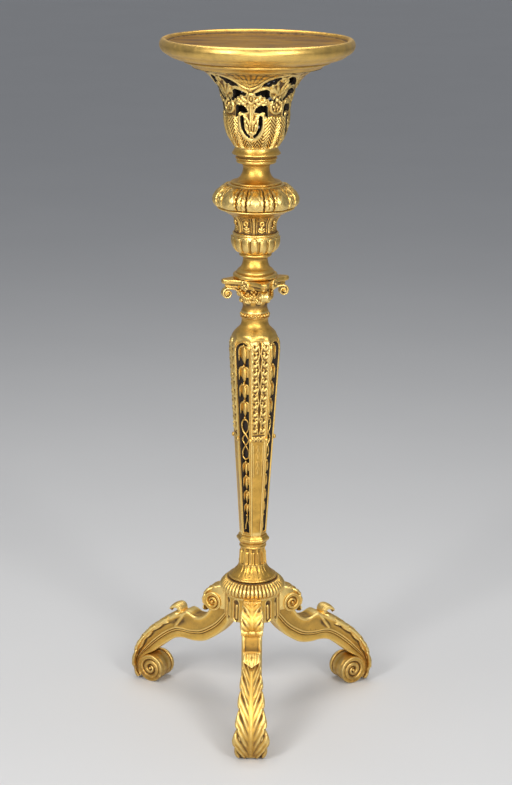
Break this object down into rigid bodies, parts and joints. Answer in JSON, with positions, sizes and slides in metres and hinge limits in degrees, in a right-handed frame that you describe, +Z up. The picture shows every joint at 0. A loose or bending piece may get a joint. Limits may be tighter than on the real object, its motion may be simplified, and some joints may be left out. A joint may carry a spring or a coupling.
{
  "type": "torchere candle stand",
  "caption": "Tall giltwood candle stand: dished round tray on a pierced bell, turned and gadrooned column, tapered pierced shaft, fluted hub and scrolled tripod legs.",
  "frame": {"origin": "on the floor, on the axis of the column", "axes": "+Z up along the column; one leg points to -Y, the other two lie at 120 degrees either side of it"},
  "size_m": [0.5316, 0.4739, 1.394],
  "materials": {
    "tray_gilt": "worn burnished water gilding over red-brown bole on turned wood, brown patina in the dish",
    "turned_gilt": "burnished water gilding on turned wood, worn to the bole on its edges",
    "carved_gilt": "carved water gilding, bright on the high places, dark brown in the recesses",
    "shaft_gilt": "carved water gilding with darker matt grounds",
    "leg_gilt": "worn oil and water gilding, brown patina in the mouldings",
    "dark_ground": "near-black painted wood behind the piercings",
    "bare_wood": "bare riven hardwood",
    "iron": "dull dark iron"
  },
  "bodies": {
    "root": {"tray": "tray_gilt", "tray_ring": "tray_gilt", "tray_screws": "iron", "bell": "carved_gilt", "neck_ring": "turned_gilt", "neck": "turned_gilt", "knop": "carved_gilt", "frieze": "carved_gilt", "frieze_rosettes": "carved_gilt", "vase_cup": "carved_gilt", "plinth": "turned_gilt", "abacus": "turned_gilt", "volute_1": "carved_gilt", "volute_2": "carved_gilt", "volute_3": "carved_gilt", "volute_4": "carved_gilt", "fleuron_1": "carved_gilt", "fleuron_2": "carved_gilt", "fleuron_3": "carved_gilt", "fleuron_4": "carved_gilt", "festoon_1": "carved_gilt", "festoon_2": "carved_gilt", "festoon_3": "carved_gilt", "festoon_4": "carved_gilt", "capital_necking": "turned_gilt", "bead_ring": "turned_gilt", "shaft_shoulder": "turned_gilt", "shaft_core": "dark_ground", "pilaster_1": "shaft_gilt", "pilaster_2": "shaft_gilt", "pilaster_3": "shaft_gilt", "pilaster_4": "shaft_gilt", "panel_1": "shaft_gilt", "panel_2": "shaft_gilt", "panel_3": "shaft_gilt", "panel_4": "shaft_gilt", "husk_string_1": "shaft_gilt", "husk_string_2": "shaft_gilt", "husk_string_3": "shaft_gilt", "husk_string_4": "shaft_gilt", "shaft_buttons": "shaft_gilt", "shaft_collar": "turned_gilt", "lower_neck": "turned_gilt", "hub_cap": "turned_gilt", "gadroon_ring": "carved_gilt", "hub": "carved_gilt", "leg_1": "leg_gilt", "leg_2": "leg_gilt", "leg_3": "leg_gilt", "knee_leaf_1": "leg_gilt", "knee_leaf_2": "leg_gilt", "knee_leaf_3": "leg_gilt", "leg_pegs": "bare_wood"}
  },
  "joints": []
}
